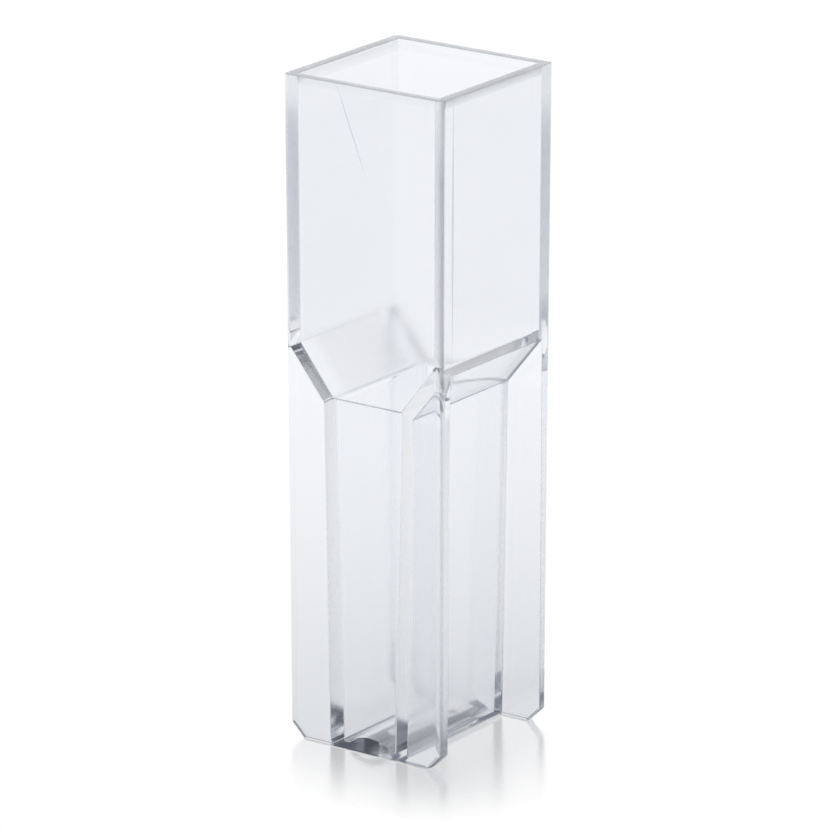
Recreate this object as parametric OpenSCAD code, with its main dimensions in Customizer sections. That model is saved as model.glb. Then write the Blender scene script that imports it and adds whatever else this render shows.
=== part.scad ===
// Clear semi-micro cuvette, one injection moulding in transparent plastic: a square well
// over a narrow chamber that lies between two flat windows. The windows run past the
// chamber on both sides as legs. X runs along the windows, Y is the light path, Z is up.
// The origin is the middle of the foot, on the surface that the cuvette stands on.

/* [Outside] */
// Height over all
height = 45; // [42:0.5:50]
// Width across the rim
rim_w = 12.5; // [12.4:0.05:12.7]
// Width across the feet
foot_w = 12.15; // [12:0.05:12.3]
// Radius of the upright outer corners
corner_r = 0.4; // [0.15:0.05:0.6]

/* [Well] */
// Wall of the square well
well_wall = 0.85; // [0.8:0.01:0.95]
// Wall that the flared mouth leaves at the rim
rim_wall = 0.74; // [0.65:0.01:0.78]
// Depth of the flare in the mouth
flare_h = 0.75; // [0.5:0.05:1.2]
// Radius of the upright corners inside the well
well_r = 0.05; // [0.05:0.05:0.5]

/* [Shoulder] */
// Height at which the sides turn in, outside
shoulder_z = 26.65; // [26:0.05:28]
// Height at which the outer slopes meet the chamber
slope_foot_z = 23.4; // [22:0.1:24]
// How far above the shoulder the slopes start inside the well
funnel_lift = 0.5; // [0.2:0.05:0.6]
// How far above the outer slopes' foot the slopes end inside
throat_lift = 0.3; // [0.1:0.05:0.5]

/* [Chamber] */
// Light path between the windows
light_path = 10; // [9.95:0.01:10.05]
// Outer width of the chamber at its top
shell_top_w = 7; // [6.8:0.05:7.1]
// Outer width of the chamber at its foot
shell_foot_w = 6.1; // [6:0.05:6.3]
// Inner width of the chamber at its top
bay_top_w = 5.25; // [4.8:0.05:5.3]
// Inner width of the chamber at its floor
bay_foot_w = 4.2; // [4:0.05:4.4]
// Radius of the upright corners inside the chamber
bay_r = 0.12; // [0.05:0.01:0.3]

/* [Floor] */
// Thickness of the floor along the side walls
floor_t = 0.28; // [0.25:0.01:0.4]
// Thickness of the floor under the crown of its ridge
crown_t = 0.9; // [0.7:0.05:1.2]
// Width of the ridge that runs along the floor
ridge_w = 3.3; // [2.8:0.1:3.5]
// Radius of the ridge's crown
crown_r = 3; // [2.5:0.1:5]
// Radius of the ridge's shoulders
ridge_r = 0.45; // [0.3:0.05:0.5]

/* [Legs] */
// Thickness of the legs at the shoulder
leg_top_t = 1.03; // [0.95:0.01:1.1]
// Thickness of the legs at the feet
leg_foot_t = 0.83; // [0.75:0.01:0.9]
// Bevel at the lower corners of the legs
foot_bevel = 1; // [0.6:0.1:1.4]
// Bevel round the foot of the chamber
sole_bevel = 0.2; // [0.1:0.05:0.3]

/* [Hidden] */
over = 0.01; // overlap that keeps joined shapes and cuts from sharing a face

// width across the shoulder, where the sides turn in
shoulder_w = foot_w + (rim_w - foot_w) * shoulder_z / height;
// rise of the outer slopes for each millimetre outwards
slope = 2 * (shoulder_z - slope_foot_z) / (shoulder_w - shell_top_w);
// heights at which the slopes start and end inside
funnel_top_z = shoulder_z + funnel_lift;
funnel_foot_z = slope_foot_z + throat_lift;
// width of the well where its slopes start
well_foot_w = shoulder_w - 2 * well_wall;

module cuvette() {
    color("aliceblue", 0.4) difference() {
        block();
        well();
        funnel();
        chamber();
        for (side = [0, 1]) mirror([side, 0, 0]) {
            recess();
            leg_bevel();
        }
    }
}

// a rounded rectangle
module plan(w, d, r) {
    offset(r = r, $fn = 32) square([w - 2 * r, d - 2 * r], center = true);
}

// a drafted post with rounded corners, [w, d] in plan at its foot and at its top
module post(foot, top, z0, z1, r) {
    translate([0, 0, z0])
        linear_extrude(z1 - z0, scale = [top.x / foot.x, top.y / foot.y], slices = 1)
            plan(foot.x, foot.y, r);
}

// the outside, drafted from the feet to the rim
module block() {
    post([foot_w, foot_w], [rim_w, rim_w], 0, height, corner_r);
}

module well() {
    rim_in = rim_w - 2 * well_wall;
    mouth_in = rim_w - 2 * rim_wall;
    post([well_foot_w, well_foot_w], [rim_in, rim_in], funnel_top_z, height + over, well_r);
    post([rim_in, rim_in], [mouth_in, mouth_in], height - flare_h, height + over, well_r);
}

// the slopes that lead from the well into the chamber
module funnel() {
    hull() {
        translate([0, 0, funnel_top_z])
            linear_extrude(over) plan(well_foot_w, well_foot_w, well_r);
        translate([0, 0, funnel_foot_z])
            linear_extrude(over) plan(bay_top_w, well_foot_w, bay_r);
    }
}

// the narrow chamber, with a rounded ridge left standing along its floor
module chamber() {
    difference() {
        post([bay_foot_w, light_path], [bay_top_w, light_path], floor_t, funnel_foot_z + over, bay_r);
        ridge();
    }
}

// the ridge, a crowned profile that runs from window to window; its shoulders are
// arcs that touch the crown's arc from inside
module ridge() {
    crown_y = crown_t - crown_r;
    shoulder_x = ridge_w / 2 - ridge_r;
    shoulder_y = crown_y + sqrt(pow(crown_r - ridge_r, 2) - pow(shoulder_x, 2));
    touch_x = shoulder_x * crown_r / (crown_r - ridge_r);
    rotate([90, 0, 0]) linear_extrude(light_path + 1, center = true) {
        intersection() {
            translate([0, crown_y]) circle(crown_r, $fn = 192);
            translate([-touch_x, 0]) square([2 * touch_x, crown_t]);
        }
        for (side = [-1, 1])
            translate([side * shoulder_x, shoulder_y]) circle(ridge_r, $fn = 48);
        translate([-ridge_w / 2, 0]) square([ridge_w, shoulder_y]);
    }
}

// the space beside the chamber, open to the side and below
module recess() {
    beyond = 2 * rim_w;
    intersection() {
        rotate([90, 0, 0]) linear_extrude(beyond, center = true) polygon([
            [shell_foot_w / 2 - sole_bevel, 0],
            [shell_foot_w / 2, sole_bevel],
            [shell_top_w / 2, slope_foot_z],
            [shoulder_w / 2, shoulder_z],
            [shoulder_w / 2 + 1, shoulder_z + slope],
            [shoulder_w / 2 + 1, -over],
            [shell_foot_w / 2 - sole_bevel, -over]
        ]);
        post([beyond, foot_w - 2 * leg_foot_t], [beyond, shoulder_w - 2 * leg_top_t],
            -over, shoulder_z + slope, over);
    }
}

// the bevel at the lower corners of both legs of one side
module leg_bevel() {
    translate([foot_w / 2 - foot_bevel, 0, 0]) rotate([90, 0, 0])
        linear_extrude(2 * foot_w, center = true)
            polygon([[0, -over], [2 * foot_bevel, -over], [2 * foot_bevel, 2 * foot_bevel], [0, 0]]);
}

cuvette();
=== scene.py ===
"""A clear semi-micro cuvette standing on a plain white surface, in soft studio light.

The whole cuvette is one closed skin: rings of points are carried up the outside, over the
rim and down the inside, and the floor and the sole close it. Sizes are in millimetres
until the skin is finished, and the mesh itself is in metres.
"""
import math

import bmesh
import bpy
import numpy as np
from mathutils import Matrix, Vector


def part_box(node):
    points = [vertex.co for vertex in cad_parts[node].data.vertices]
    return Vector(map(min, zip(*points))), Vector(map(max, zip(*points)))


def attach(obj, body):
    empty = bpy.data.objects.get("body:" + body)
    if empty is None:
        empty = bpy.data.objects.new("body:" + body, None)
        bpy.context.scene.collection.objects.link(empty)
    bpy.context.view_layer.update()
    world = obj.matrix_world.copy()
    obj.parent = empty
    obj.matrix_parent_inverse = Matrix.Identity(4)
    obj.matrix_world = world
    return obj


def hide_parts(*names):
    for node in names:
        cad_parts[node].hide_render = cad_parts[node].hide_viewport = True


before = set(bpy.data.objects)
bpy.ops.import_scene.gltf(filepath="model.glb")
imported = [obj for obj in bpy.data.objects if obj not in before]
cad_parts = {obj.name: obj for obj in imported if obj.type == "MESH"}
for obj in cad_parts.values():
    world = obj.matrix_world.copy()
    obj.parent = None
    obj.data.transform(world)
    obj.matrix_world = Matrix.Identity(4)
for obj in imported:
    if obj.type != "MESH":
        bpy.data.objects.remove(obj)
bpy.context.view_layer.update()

MM = 0.001

# ---------------------------------------------------------------- sizes, in millimetres
NODE_LOW, NODE_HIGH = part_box("cuvette")
HEIGHT = (NODE_HIGH[2] - NODE_LOW[2]) / MM
RIM_W = (NODE_HIGH[0] - NODE_LOW[0]) / MM
FOOT_W = 12.15
WELL_WALL, RIM_WALL, FLARE_H = 0.85, 0.74, 0.75
SHOULDER_Z, SLOPE_FOOT_Z = 26.65, 23.4
FUNNEL_LIFT, THROAT_LIFT = 0.5, 0.3
LIGHT_PATH = 10.0
SHELL_TOP_W, SHELL_FOOT_W = 7.0, 6.1
BAY_TOP_W, BAY_FOOT_W = 5.25, 4.2
FLOOR_T, CROWN_T, RIDGE_W, CROWN_R, RIDGE_R = 0.28, 0.9, 3.3, 3.0, 0.45
LEG_TOP_T, LEG_FOOT_T = 1.03, 0.83
FOOT_BEVEL, SOLE_BEVEL = 1.0, 0.2
LEDGE_H = 0.1        # height of the small ledge where the throat meets the windows

CORNER_R = 0.4       # upright outer corners
LEG_R = 0.08         # edges of the legs towards the recess
RECESS_R = 0.12      # inner corners of the recess
WELL_R, BAY_R = 0.05, 0.12
LIP_R = 0.02         # both edges of the rim
SOLE_R = 0.05        # edges of the sole

# how far a bend of a profile is softened, to each side of it
SLOPE_EASE, SHOULDER_EASE, FUNNEL_EASE, FLARE_EASE = 0.12, 0.03, 0.15, 0.08
BEVEL_EASE, SOLE_EASE, LEDGE_EASE = 0.06, 0.05, 0.04

SHOULDER_W = FOOT_W + (RIM_W - FOOT_W) * SHOULDER_Z / HEIGHT
FUNNEL_TOP_Z = SHOULDER_Z + FUNNEL_LIFT
THROAT_Z = SLOPE_FOOT_Z + THROAT_LIFT


# ---------------------------------------------------------------- profiles up the height
def eased_ramp(t, reach):
    """0 below -reach, t above reach, and between them the parabola that touches both."""
    bend = (np.clip(t, -reach, reach) + reach) ** 2 / (4 * reach)
    return np.where(t > reach, t, bend)


def line(z, z0, w0, z1, w1):
    """Half of a width that runs straight from w0 at z0 to w1 at z1."""
    return 0.5 * (w0 + (w1 - w0) * (z - z0) / (z1 - z0))


def outer_half(z):
    """Half width of the outside: the draft, straight from the feet to the rim."""
    return line(z, 0, FOOT_W, HEIGHT, RIM_W)


def leg_half(z):
    """Half width of the legs: the draft of the sides, less the bevel at the feet."""
    return outer_half(z) - eased_ramp(FOOT_BEVEL - z, BEVEL_EASE)


def recess_half(z):
    """Distance of the recess wall from the middle: the chamber's drafted side, a small
    bevel at its foot, and the slope that carries it out to the shoulder."""
    side = line(z, 0, SHELL_FOOT_W, SLOPE_FOOT_Z, SHELL_TOP_W)
    lean = 0.5 * (SHELL_TOP_W - SHELL_FOOT_W) / SLOPE_FOOT_Z
    run = 0.5 * (SHOULDER_W - SHELL_TOP_W) / (SHOULDER_Z - SLOPE_FOOT_Z)
    slope = (run - lean) * eased_ramp(z - SLOPE_FOOT_Z, SLOPE_EASE)
    wall = side + slope - eased_ramp(SOLE_BEVEL - z, SOLE_EASE)
    return leg_half(z) - eased_ramp(leg_half(z) - wall, SHOULDER_EASE)


def recess_reach(z):
    """Half of the gap between the two legs of a side."""
    return line(z, 0, FOOT_W - 2 * LEG_FOOT_T, SHOULDER_Z, SHOULDER_W - 2 * LEG_TOP_T)


def bay_half(z):
    """Half width inside: chamber, funnel, well and flared mouth, one after another."""
    chamber = line(z, FLOOR_T, BAY_FOOT_W, THROAT_Z, BAY_TOP_W)
    lean = 0.5 * (BAY_TOP_W - BAY_FOOT_W) / (THROAT_Z - FLOOR_T)
    well_foot = SHOULDER_W - 2 * WELL_WALL
    run = 0.5 * (well_foot - BAY_TOP_W) / (FUNNEL_TOP_Z - THROAT_Z)
    draft = 0.5 * (RIM_W - 2 * WELL_WALL - well_foot) / (HEIGHT - FUNNEL_TOP_Z)
    flare = (WELL_WALL - RIM_WALL) / FLARE_H
    return (
        chamber
        + (run - lean) * eased_ramp(z - THROAT_Z, SLOPE_EASE)
        + (draft - run) * eased_ramp(z - FUNNEL_TOP_Z, FUNNEL_EASE)
        + flare * eased_ramp(z - (HEIGHT - FLARE_H), FLARE_EASE)
    )


def path_half(z):
    """Half depth inside: the light path up to the ledge at the throat, then the well."""
    well_foot = 0.5 * SHOULDER_W - WELL_WALL
    ledge = well_foot - 0.5 * LIGHT_PATH
    rise = ledge / LEDGE_H
    draft = (0.5 * RIM_W - WELL_WALL - well_foot) / (HEIGHT - FUNNEL_TOP_Z)
    flare = (WELL_WALL - RIM_WALL) / FLARE_H
    start, end = eased_ramp(z - THROAT_Z, LEDGE_EASE), eased_ramp(z - THROAT_Z - LEDGE_H, LEDGE_EASE)
    return (
        0.5 * LIGHT_PATH
        + rise * (start - end)
        + draft * eased_ramp(z - FUNNEL_TOP_Z, FUNNEL_EASE)
        + flare * eased_ramp(z - (HEIGHT - FLARE_H), FLARE_EASE)
    )


def floor_z(x):
    """Height of the chamber's floor: two flat gutters, and between them a ridge whose
    crown is an arc and whose shoulders are smaller arcs that touch it from inside."""
    crown_z = CROWN_T - CROWN_R
    shoulder_x = RIDGE_W / 2 - RIDGE_R
    shoulder_z = crown_z + math.sqrt((CROWN_R - RIDGE_R) ** 2 - shoulder_x ** 2)
    touch_x = shoulder_x * CROWN_R / (CROWN_R - RIDGE_R)
    away = np.abs(x)
    crown = crown_z + np.sqrt(np.maximum(CROWN_R ** 2 - away ** 2, 0))
    shoulder = shoulder_z + np.sqrt(np.maximum(RIDGE_R ** 2 - (away - shoulder_x) ** 2, 0))
    ridge = np.where(away < touch_x, crown, shoulder)
    return np.maximum(np.where(away < RIDGE_W / 2, ridge, FLOOR_T), FLOOR_T)


# ---------------------------------------------------------------- rings
ARC_STEPS = 7


def around(legs, deep, recess, reach, corner_r, leg_r, recess_r):
    """The outline of every ring at once, as x and y of shape (rings, points).

    It is an H on its side: twelve right-angled corners, each a quarter circle from
    corner - r * way_in to corner + r * way_out, joined by straight runs. Where the recess
    has no depth, its corners fall together on the side."""
    none = np.zeros_like(legs)
    half_depth = (legs - recess) / 2
    leg_r = np.minimum(leg_r, half_depth)
    recess_r = np.minimum(recess_r, half_depth)
    quarter = np.linspace(0, math.pi / 2, ARC_STEPS + 1)
    up, down, right, left = (0, 1), (0, -1), (1, 0), (-1, 0)
    upper = [
        (recess, reach, up, right, recess_r),
        (legs, reach, right, up, leg_r),
        (legs, deep, up, left, corner_r + none),
        (-legs, deep, left, down, corner_r + none),
        (-legs, reach, down, right, leg_r),
        (-recess, reach, right, down, recess_r),
    ]
    xs, ys = [], []
    for i, (cx, cy, way_in, way_out, r) in enumerate(upper):
        r = r[:, None]
        mid_x = cx[:, None] + r * (way_out[0] - way_in[0])
        mid_y = cy[:, None] + r * (way_out[1] - way_in[1])
        arc_x = mid_x - r * way_out[0] * np.cos(quarter) + r * way_in[0] * np.sin(quarter)
        arc_y = mid_y - r * way_out[1] * np.cos(quarter) + r * way_in[1] * np.sin(quarter)
        if i:
            share = WINDOW_SHARES if i == 3 else EDGE_SHARES
            from_x, from_y = xs[-1][:, -1:], ys[-1][:, -1:]
            xs.append(from_x + (arc_x[:, :1] - from_x) * share)
            ys.append(from_y + (arc_y[:, :1] - from_y) * share)
        xs.append(arc_x)
        ys.append(arc_y)
    x, y = np.hstack(xs), np.hstack(ys)
    return np.hstack([x, x[:, ::-1]]), np.hstack([y, -y[:, ::-1]])


def window_shares():
    """Where the points of a window's long run lie, as shares of the run: close together
    at its ends and where the ridge of the floor rises, measured on the floor's ring."""
    run = BAY_FOOT_W / 2 - BAY_R
    shoulder_x = RIDGE_W / 2 - RIDGE_R
    arc = shoulder_x + RIDGE_R * np.cos(np.radians([17, 24, 32, 41, 50, 58]))
    half = np.concatenate([[run * 0.994, 1.8, 1.68], arc, [1.25, 1.0, 0.75, 0.5, 0.25]])
    x = np.concatenate([half, [0], -half[::-1]])
    return (run - x) / (2 * run)


EDGE_SHARES = np.array([0.06, 0.94])
WINDOW_SHARES = window_shares()


def levels(z0, z1, bends, steps=6):
    """Heights from z0 to z1: both ends, a few between, and a close set round each bend,
    given as (height, reach)."""
    spread = np.linspace(-1, 1, 2 * steps + 1)
    sets = [np.linspace(z0, z1, 9)]
    sets += [z + reach * spread for z, reach in bends]
    sets += [np.array([z - reach * 1.4, z + reach * 1.4]) for z, reach in bends]
    z = np.unique(np.round(np.concatenate(sets), 5))
    return z[(z >= z0) & (z <= z1)]


def quarter_turn(radius, steps=4):
    """Inset and rise along a rounded edge, from the side face to the flat face."""
    a = np.linspace(0, math.pi / 2, steps + 1)
    return radius * (1 - np.cos(a)), radius * np.sin(a)


def outside_rings():
    """The rings from the sole up to the top of the rim, with both edges rounded."""
    inset, rise = quarter_turn(SOLE_R)
    bends = [
        (SOLE_BEVEL, SOLE_EASE),
        (FOOT_BEVEL, BEVEL_EASE),
        (SLOPE_FOOT_Z, SLOPE_EASE),
        (SHOULDER_Z, 0.05),
    ]
    side = levels(SOLE_R, HEIGHT - LIP_R, bends)
    lip_in, lip_up = quarter_turn(LIP_R)
    z = np.concatenate([SOLE_R - rise[::-1], side[1:-1], HEIGHT - LIP_R + lip_up])
    pull = np.concatenate([inset[::-1], np.zeros(len(side) - 2), lip_in])
    legs, deep = leg_half(z) - pull, outer_half(z) - pull
    recess = np.minimum(recess_half(z) - pull, legs)
    at_sole = np.where(z < SOLE_BEVEL, pull, 0)
    reach = recess_reach(np.minimum(z, SHOULDER_Z)) + at_sole
    x, y = around(legs, deep, recess, reach, CORNER_R - pull, LEG_R - at_sole, RECESS_R + at_sole)
    return x, y, np.repeat(z[:, None], x.shape[1], axis=1)


def inside_rings():
    """The rings from the top of the rim down to the floor."""
    lip_in, lip_up = quarter_turn(LIP_R)
    bends = [
        (THROAT_Z, SLOPE_EASE),
        (THROAT_Z + LEDGE_H, 0.05),
        (FUNNEL_TOP_Z, FUNNEL_EASE),
        (HEIGHT - FLARE_H, FLARE_EASE),
    ]
    side = levels(CROWN_T + 0.2, HEIGHT - LIP_R, bends)[::-1]
    z = np.concatenate([HEIGHT - LIP_R + lip_up[::-1], side[1:], [FLOOR_T]])
    push = np.concatenate([lip_in[::-1], np.zeros(len(side))])
    wide, deep = bay_half(z) + push, path_half(z) + push
    corner = np.where(z > THROAT_Z, WELL_R, BAY_R) + push
    x, y = around(wide, deep, wide, 0.9 * deep, corner, 0, 0)
    rings_z = np.repeat(z[:, None], x.shape[1], axis=1)
    rings_z[-1] = floor_z(x[-1])
    return x, y, rings_z


def cuvette_skin():
    """One closed mesh: quads between neighbouring rings, strips along the light path for
    the floor, and one flat face for the sole."""
    outside, inside = outside_rings(), inside_rings()
    x, y, z = (np.vstack([a, b]) for a, b in zip(outside, inside))
    rings, points = x.shape
    verts = np.stack([x, y, z], axis=-1).reshape(-1, 3) * MM
    index = np.arange(rings * points).reshape(rings, points)
    a, b = index[:-1], index[1:]
    quads = np.stack([a, np.roll(a, -1, 1), np.roll(b, -1, 1), b], axis=-1).reshape(-1, 4)
    floor = index[-1]
    half = points // 2
    on_side = np.flatnonzero(np.isclose(x[-1][:half], x[-1][0]))[-1]
    inner = np.arange(on_side + 1, half - 2 - on_side)
    mirror = points - 1 - inner
    strips = np.stack([floor[inner + 1], floor[mirror - 1], floor[mirror], floor[inner]], axis=-1)
    right = np.arange(-on_side - 2, on_side + 2)
    faces = [*quads.tolist(), *strips.tolist()]
    faces += [floor[right].tolist(), floor[right + half].tolist(), index[0][::-1].tolist()]
    mesh = bpy.data.meshes.new("cuvette_skin")
    mesh.from_pydata(verts.tolist(), [], faces)
    merge(mesh)
    return mesh


def merge(mesh):
    """Joins the points that fall together and shades the skin smooth, apart from the few
    edges that are sharp."""
    bm = bmesh.new()
    bm.from_mesh(mesh)
    bmesh.ops.remove_doubles(bm, verts=bm.verts, dist=2e-7)
    bmesh.ops.dissolve_degenerate(bm, dist=1e-8, edges=bm.edges)
    bm.to_mesh(mesh)
    bm.free()
    mesh.shade_smooth()
    mesh.set_sharp_from_angle(angle=math.radians(40))


# ---------------------------------------------------------------- shader nodes
def put(tree, value, socket):
    """Sets a socket to a number or a colour, or links another node's result to it."""
    if isinstance(value, bpy.types.NodeSocket):
        tree.links.new(value, socket)
    else:
        socket.default_value = value


def number(tree, operation, *values):
    """The result of a Math node."""
    node = tree.nodes.new("ShaderNodeMath")
    node.operation = operation
    for value, socket in zip(values, node.inputs):
        put(tree, value, socket)
    return node.outputs["Value"]


def vector(tree, operation, *values):
    """The result of a Vector Math node: a number for a length and for a dot product."""
    node = tree.nodes.new("ShaderNodeVectorMath")
    node.operation = operation
    for value, socket in zip(values, node.inputs):
        put(tree, value, socket)
    return node.outputs["Value" if operation in ("LENGTH", "DOT_PRODUCT") else "Vector"]


def parts_of(tree, value):
    """The x, y and z of a vector."""
    node = tree.nodes.new("ShaderNodeSeparateXYZ")
    tree.links.new(value, node.inputs[0])
    return node.outputs["X"], node.outputs["Y"], node.outputs["Z"]


def ramp(tree, value, start, end, low=0.0, high=1.0, kind="SMOOTHSTEP"):
    """Low where the value is at start or before it, high at end or past it, and a smooth
    or straight run between."""
    node = tree.nodes.new("ShaderNodeMapRange")
    node.interpolation_type = kind
    tree.links.new(value, node.inputs["Value"])
    node.inputs["From Min"].default_value = start
    node.inputs["From Max"].default_value = end
    node.inputs["To Min"].default_value = low
    node.inputs["To Max"].default_value = high
    return node.outputs["Result"]


def blend(tree, share, first, second):
    """The first colour where the share is 0, and the second where it is 1."""
    node = tree.nodes.new("ShaderNodeMix")
    node.data_type = "RGBA"
    tree.links.new(share, node.inputs["Factor"])
    put(tree, first, node.inputs[6])
    put(tree, second, node.inputs[7])
    return node.outputs[2]


# ---------------------------------------------------------------- clear plastic
CLEAR = (0.985, 0.990, 1.0, 1)
# the grey of a thin upright line near the front of the well's right wall
UPRIGHT_LINE_TINT = (0.55, 0.57, 0.62, 1)
SCRATCH_TINT = (0.48, 0.51, 0.58, 1)
MARK_TINT = (0.10, 0.11, 0.13, 1)
BODY_TINT, BODY_DENSITY = (0.40, 0.44, 0.54, 1), 4
REFRACTION = 1.59
POLISHED = 0.04


def streak(tree, place, middle, size, turn=0.0):
    """A mask that is 1 in a slim spindle and falls to 0 at its skin: the length of the
    position, measured from the spindle's middle in its own half widths. In millimetres."""
    local = tree.nodes.new("ShaderNodeMapping")
    local.vector_type = "TEXTURE"
    local.inputs["Location"].default_value = [v * MM for v in middle]
    local.inputs["Rotation"].default_value = (0, turn, 0)
    local.inputs["Scale"].default_value = [v * MM for v in size]
    tree.links.new(place, local.inputs["Vector"])
    return ramp(tree, vector(tree, "LENGTH", local.outputs["Vector"]), 0.5, 1, 1, 0, "LINEAR")


def tint(tree, place):
    """The colour: clear, darker along a thin upright line near the front of the well's right wall and
    along the hairline scratch that comes down from the rim, and nearly black in a tiny hook, a blob with
    an arch of two strokes over it."""
    # a thin darker upright line near the front of the well's right wall
    upright_line = streak(tree, place, (6.21, -5.0, 36.6), (0.15, 0.13, 10.4))
    scratch = streak(tree, place, (-0.90, -6.24, 42.22), (0.05, 0.15, 3.65), -0.372)
    blob = streak(tree, place, (5.63, -6.18, 27.26), (0.16, 0.2, 0.15))
    arch_left = streak(tree, place, (5.74, -6.18, 27.37), (0.18, 0.2, 0.08), -0.6)
    arch_right = streak(tree, place, (5.95, -6.18, 27.27), (0.08, 0.2, 0.25), -0.35)
    arch = number(tree, "MAXIMUM", arch_left, arch_right)
    hook = number(tree, "MAXIMUM", arch, blob)
    lined = blend(tree, upright_line, CLEAR, UPRIGHT_LINE_TINT)
    scratched = blend(tree, scratch, lined, SCRATCH_TINT)
    return blend(tree, hook, scratched, MARK_TINT)


def finish(tree, place, normal):
    """The roughness: low on the polished outside, and higher in six zones of the inside
    and of the recesses. A zone is where all its tests hold, and the highest value counts."""
    x, y, z = parts_of(tree, vector(tree, "ABSOLUTE", place))
    normal_x, _, normal_z = parts_of(tree, normal)
    upward = number(tree, "GREATER_THAN", normal_z, 0.3)
    sideways = number(tree, "GREATER_THAN", number(tree, "ABSOLUTE", normal_x), 0.9)

    def past(value, limit):
        return number(tree, "GREATER_THAN", value, limit * MM)

    def within(value, limit):
        return number(tree, "LESS_THAN", value, limit * MM)

    over_funnel, over_ridge = FUNNEL_TOP_Z + FUNNEL_EASE, CROWN_T + 0.1
    under_rim, under_throat, under_slope = HEIGHT - 0.1, THROAT_Z - 0.1, SLOPE_FOOT_Z - 0.1
    well_side, shell_side = RIM_W / 2 - 0.55, SHELL_TOP_W / 2 + 0.1
    bay_side, window_side = BAY_TOP_W / 2 + 0.075, LIGHT_PATH / 2 + 0.1
    leg_side = FOOT_W / 2 - LEG_FOOT_T + 0.155
    slope_middle = 3.6
    zones = [
        # the well
        (0.16, past(z, over_funnel), within(z, under_rim), within(x, well_side), within(y, well_side)),
        # the slopes inside it, away from the windows
        (0.24, past(z, SLOPE_FOOT_Z + 0.1), within(z, over_funnel), within(y, slope_middle), upward),
        # the inside of the chamber
        (0.10, past(z, over_ridge), within(z, under_throat), within(x, bay_side), within(y, window_side)),
        # its floor
        (0.07, within(z, over_ridge), upward),
        # its side walls, inside and outside
        (0.12, within(z, under_slope), within(x, shell_side), sideways),
        # the legs, where they face each other
        (0.16, within(z, under_slope), past(x, shell_side), within(y, leg_side)),
    ]
    roughness = POLISHED
    for amount, zone, *tests in zones:
        for test in tests:
            zone = number(tree, "MINIMUM", zone, test)
        roughness = number(tree, "MAXIMUM", roughness, number(tree, "MULTIPLY", zone, amount))
    return roughness


def clear_plastic():
    """Clear polystyrene: it bends light, and swallows a little of it, blue least, so that
    edges with a long way through them look blue-grey."""
    mat = bpy.data.materials.new("clear_polystyrene")
    mat.use_nodes = True
    tree = mat.node_tree
    shader = tree.nodes["Principled BSDF"]
    shader.inputs["Transmission Weight"].default_value = 1
    shader.inputs["IOR"].default_value = REFRACTION
    coords = tree.nodes.new("ShaderNodeTexCoord")
    place, normal = coords.outputs["Object"], coords.outputs["Normal"]
    tree.links.new(tint(tree, place), shader.inputs["Base Color"])
    tree.links.new(finish(tree, place, normal), shader.inputs["Roughness"])
    body = tree.nodes.new("ShaderNodeVolumeAbsorption")
    body.inputs["Color"].default_value = BODY_TINT
    body.inputs["Density"].default_value = BODY_DENSITY
    tree.links.new(body.outputs["Volume"], tree.nodes["Material Output"].inputs["Volume"])
    return mat


# ---------------------------------------------------------------- the stage's surfaces
GROUND_REACH, GROUND_Z = 1.5, -0.00003      # metres, as are the five lengths below
FOOT_HALF = 0.006
GLOSS_REACH, GLOSS, SHEEN = 0.0105, 0.52, 0.19
# a painted shadow on the ground next to the foot, seen only through the plastic: flat out to this reach,
# then fading
PAINTED_SHADOW_REACH, PAINTED_SHADOW_FADE = 0.012, -20           # the fade is for each metre
# painted shade in two lanes on the ground, far out to the sides, standing in for dark cards that are not
# in the scene
PAINTED_CARD_START, PAINTED_CARD_END = 0.07, 0.095

WHITE = (1.02, 1.02, 1.02, 1)
# FAR_WHITE is the ground seen through the plastic far from the foot, a little bluer; PAINTED_SHADOW_GREY
# is the painted shadow next to the foot
FAR_WHITE, PAINTED_SHADOW_GREY = (1.005, 1.015, 1.037, 1), (0.68, 0.695, 0.72, 1)
# the grey of the painted card shade, seen only through the plastic
PAINTED_CARD_SHADE_GREY = (0.49, 0.512, 0.575, 1)
WALL_THROUGH_PLASTIC = (0.80, 0.80, 0.82, 1)
ROOM_GREY, ROOM_DARK = (0.17, 0.19, 0.23, 1), (0.025, 0.035, 0.05, 1)
ROOM_OVERHEAD = (0.62, 0.65, 0.72, 1)
# ACROSS is the camera's right; the painted card shade on the ground and the dark side of the room lie
# along it
ACROSS = (0.814, 0.581, 0)   # the stage's sideways direction


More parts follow.
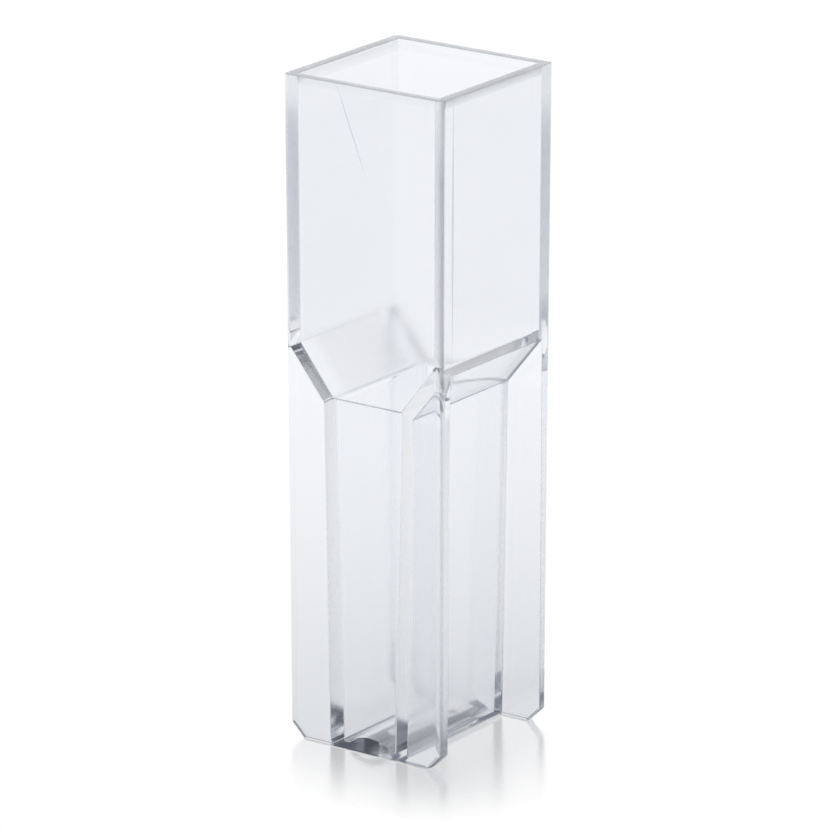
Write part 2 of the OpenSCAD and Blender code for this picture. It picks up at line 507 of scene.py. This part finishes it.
def white_ground_painted_shade():
    """A white glowing surface. Round the foot it is glossy, and the gloss fades to nothing with the
    distance from the foot's square. What the plastic passes on of it has other tones: a little bluer,
    with a painted shadow next to the foot that fades by e to the power of the distance times the fade,
    and painted shade far out on two sides, which stands in for dark studio cards that are not in the
    scene."""
    mat = bpy.data.materials.new("white_ground_painted_shade")
    mat.use_nodes = True
    tree = mat.node_tree
    place = tree.nodes.new("ShaderNodeTexCoord").outputs["Object"]
    passed = tree.nodes.new("ShaderNodeLightPath").outputs["Transmission Depth"]
    # painted shadow next to the foot, only in what the plastic passes on
    distance = number(tree, "MAXIMUM", vector(tree, "LENGTH", place), PAINTED_SHADOW_REACH)
    painted_shadow_share = number(tree, "EXPONENT", number(tree, "MULTIPLY", distance, PAINTED_SHADOW_FADE))
    painted_shadow_tone = blend(tree, painted_shadow_share, FAR_WHITE, PAINTED_SHADOW_GREY)
    # painted shade in two side lanes, in place of dark cards
    aside = number(tree, "ABSOLUTE", vector(tree, "DOT_PRODUCT", place, ACROSS))
    painted_card_shade = blend(tree, ramp(tree, aside, PAINTED_CARD_START, PAINTED_CARD_END), painted_shadow_tone, PAINTED_CARD_SHADE_GREY)
    through = number(tree, "GREATER_THAN", passed, 0.5)
    glow = tree.nodes.new("ShaderNodeEmission")
    tree.links.new(blend(tree, through, WHITE, painted_card_shade), glow.inputs["Color"])
    sheen = tree.nodes.new("ShaderNodeBsdfGlossy")
    sheen.inputs["Color"].default_value = (1, 1, 1, 1)
    sheen.inputs["Roughness"].default_value = SHEEN
    over = vector(tree, "SUBTRACT", vector(tree, "ABSOLUTE", place), (FOOT_HALF, FOOT_HALF, 1))
    from_foot = vector(tree, "LENGTH", vector(tree, "MAXIMUM", over, (0, 0, 0)))
    fade = ramp(tree, from_foot, 0, GLOSS_REACH, GLOSS, 0)
    direct = number(tree, "LESS_THAN", passed, 0.5)
    mix = tree.nodes.new("ShaderNodeMixShader")
    tree.links.new(number(tree, "MULTIPLY", fade, direct), mix.inputs["Fac"])
    tree.links.new(glow.outputs["Emission"], mix.inputs[1])
    tree.links.new(sheen.outputs["BSDF"], mix.inputs[2])
    tree.links.new(mix.outputs["Shader"], tree.nodes["Material Output"].inputs["Surface"])
    return mat


# ---------------------------------------------------------------- the piece
def add_cuvette():
    """The dressed cuvette takes the place of the plain one."""
    piece = bpy.data.objects.new("cuvette_body", cuvette_skin())
    bpy.context.collection.objects.link(piece)
    piece.data.materials.append(clear_plastic())
    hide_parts("cuvette")
    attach(piece, "root")


def add_ground():
    """A flat square, a hair below the foot so that the two don't share a plane."""
    mesh = bpy.data.meshes.new("ground")
    r, z = GROUND_REACH, GROUND_Z
    mesh.from_pydata([(-r, -r, z), (r, -r, z), (r, r, z), (-r, r, z)], [], [(0, 1, 2, 3)])
    mesh.materials.append(white_ground_painted_shade())
    ground = bpy.data.objects.new("ground", mesh)
    bpy.context.collection.objects.link(ground)


def add_world():
    """A dark room that is lighter overhead, with one white wall: only what is mirrored
    once, such as by the gloss of the ground, shows the wall, a little dimmer where the
    plastic is in front of it."""
    world = bpy.data.worlds.new("studio")
    bpy.context.scene.world = world
    world.use_nodes = True
    tree = world.node_tree
    toward = tree.nodes.new("ShaderNodeTexCoord").outputs["Generated"]
    side = ramp(tree, vector(tree, "DOT_PRODUCT", toward, ACROSS), 0.2, 0.65)
    walls = blend(tree, side, ROOM_GREY, ROOM_DARK)
    height = parts_of(tree, toward)[2]
    room = blend(tree, ramp(tree, height, 0.6, 0.85), walls, ROOM_OVERHEAD)
    path = tree.nodes.new("ShaderNodeLightPath")
    through = number(tree, "GREATER_THAN", path.outputs["Transmission Depth"], 0.5)
    white_wall = blend(tree, through, WHITE, WALL_THROUGH_PLASTIC)
    once = number(tree, "COMPARE", path.outputs["Glossy Depth"], 1, 0.5)
    seen = blend(tree, once, room, white_wall)
    tree.links.new(seen, tree.nodes["Background"].inputs["Color"])


# ---------------------------------------------------------------- camera and render
AZIMUTH, ELEVATION = math.radians(35.4912), math.radians(17.4093)
DISTANCE = 0.4358


def add_camera():
    """The camera looks at the middle of the cuvette, turned round it and lifted."""
    a, e = AZIMUTH, ELEVATION
    back = Vector((math.sin(a) * math.cos(e), -math.cos(a) * math.cos(e), math.sin(e)))
    right = Vector((math.cos(a), math.sin(a), 0))
    up = back.cross(right)
    data = bpy.data.cameras.new("camera")
    data.sensor_width = 36
    data.lens = 291.03
    data.clip_start = 0.01
    camera = bpy.data.objects.new("camera", data)
    target = Vector((0, 0, 22.5 * MM)) - 0.2991 * MM * right - 0.7206 * MM * up
    camera.matrix_world = Matrix.Translation(target + DISTANCE * back) @ Matrix(
        (right, up, back)).transposed().to_4x4()
    bpy.context.collection.objects.link(camera)
    bpy.context.scene.camera = camera


def light_paths():
    """Enough bounces for light to find its way out of the plastic."""
    cycles = bpy.context.scene.cycles
    cycles.max_bounces = cycles.transmission_bounces = cycles.glossy_bounces = 128
    bpy.context.scene.view_settings.view_transform = "Standard"


add_cuvette()
add_ground()
add_world()
add_camera()
light_paths()
